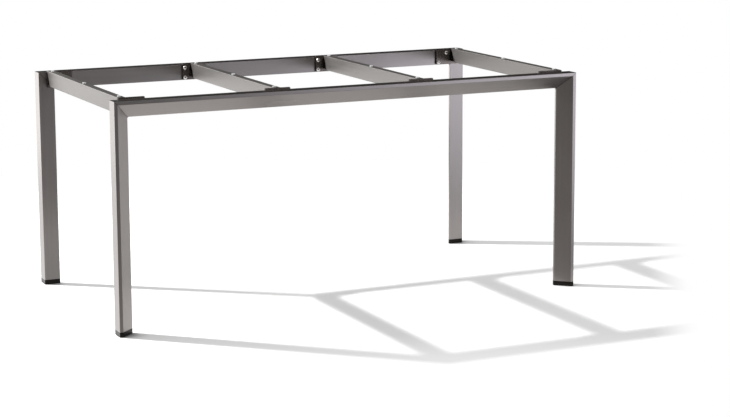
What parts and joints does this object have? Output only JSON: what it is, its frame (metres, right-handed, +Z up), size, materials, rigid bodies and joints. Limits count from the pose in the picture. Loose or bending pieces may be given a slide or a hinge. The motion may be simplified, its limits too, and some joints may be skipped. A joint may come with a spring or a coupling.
{
  "type": "table frame",
  "caption": "Open rectangular table base: bevelled, mitred metal portals joined by slant-ended cross-bars, with clear pads that carry a table top.",
  "frame": {"origin": "on the floor, under the middle of the frame", "axes": "+X along the length to the right, +Y from the front to the back, +Z up"},
  "size_m": [1.588, 0.848, 0.728],
  "materials": {
    "section_aluminium": "satin, brushed along the length",
    "bar_aluminium": "satin, fine grain along the length",
    "bracket_aluminium": "satin, machined edges",
    "screw_steel": "bright stainless",
    "nut_steel": "zinc plated",
    "pad_clear": "clear silicone",
    "foot_plastic": "fine moulded grain"
  },
  "bodies": {
    "root": {"front_rail": "section_aluminium", "back_rail": "section_aluminium", "front_left_leg": "section_aluminium", "front_right_leg": "section_aluminium", "back_left_leg": "section_aluminium", "back_right_leg": "section_aluminium", "left_end_bar": "bar_aluminium", "left_middle_bar": "bar_aluminium", "right_middle_bar": "bar_aluminium", "right_end_bar": "bar_aluminium", "left_end_bar_front_bracket": "bracket_aluminium", "left_end_bar_back_bracket": "bracket_aluminium", "left_middle_bar_front_bracket": "bracket_aluminium", "left_middle_bar_back_bracket": "bracket_aluminium", "right_middle_bar_front_bracket": "bracket_aluminium", "right_middle_bar_back_bracket": "bracket_aluminium", "right_end_bar_front_bracket": "bracket_aluminium", "right_end_bar_back_bracket": "bracket_aluminium", "left_end_bar_front_screws": "screw_steel", "left_end_bar_back_screws": "screw_steel", "left_middle_bar_front_screws": "screw_steel", "left_middle_bar_back_screws": "screw_steel", "right_middle_bar_front_screws": "screw_steel", "right_middle_bar_back_screws": "screw_steel", "right_end_bar_front_screws": "screw_steel", "right_end_bar_back_screws": "screw_steel", "front_rail_nuts": "nut_steel", "back_rail_nuts": "nut_steel", "left_end_bar_front_pad": "pad_clear", "left_end_bar_middle_pad": "pad_clear", "left_end_bar_back_pad": "pad_clear", "left_middle_bar_front_pad": "pad_clear", "left_middle_bar_middle_pad": "pad_clear", "left_middle_bar_back_pad": "pad_clear", "right_middle_bar_front_pad": "pad_clear", "right_middle_bar_middle_pad": "pad_clear", "right_middle_bar_back_pad": "pad_clear", "right_end_bar_front_pad": "pad_clear", "right_end_bar_middle_pad": "pad_clear", "right_end_bar_back_pad": "pad_clear", "front_left_foot": "foot_plastic", "front_right_foot": "foot_plastic", "back_left_foot": "foot_plastic", "back_right_foot": "foot_plastic"}
  },
  "joints": []
}
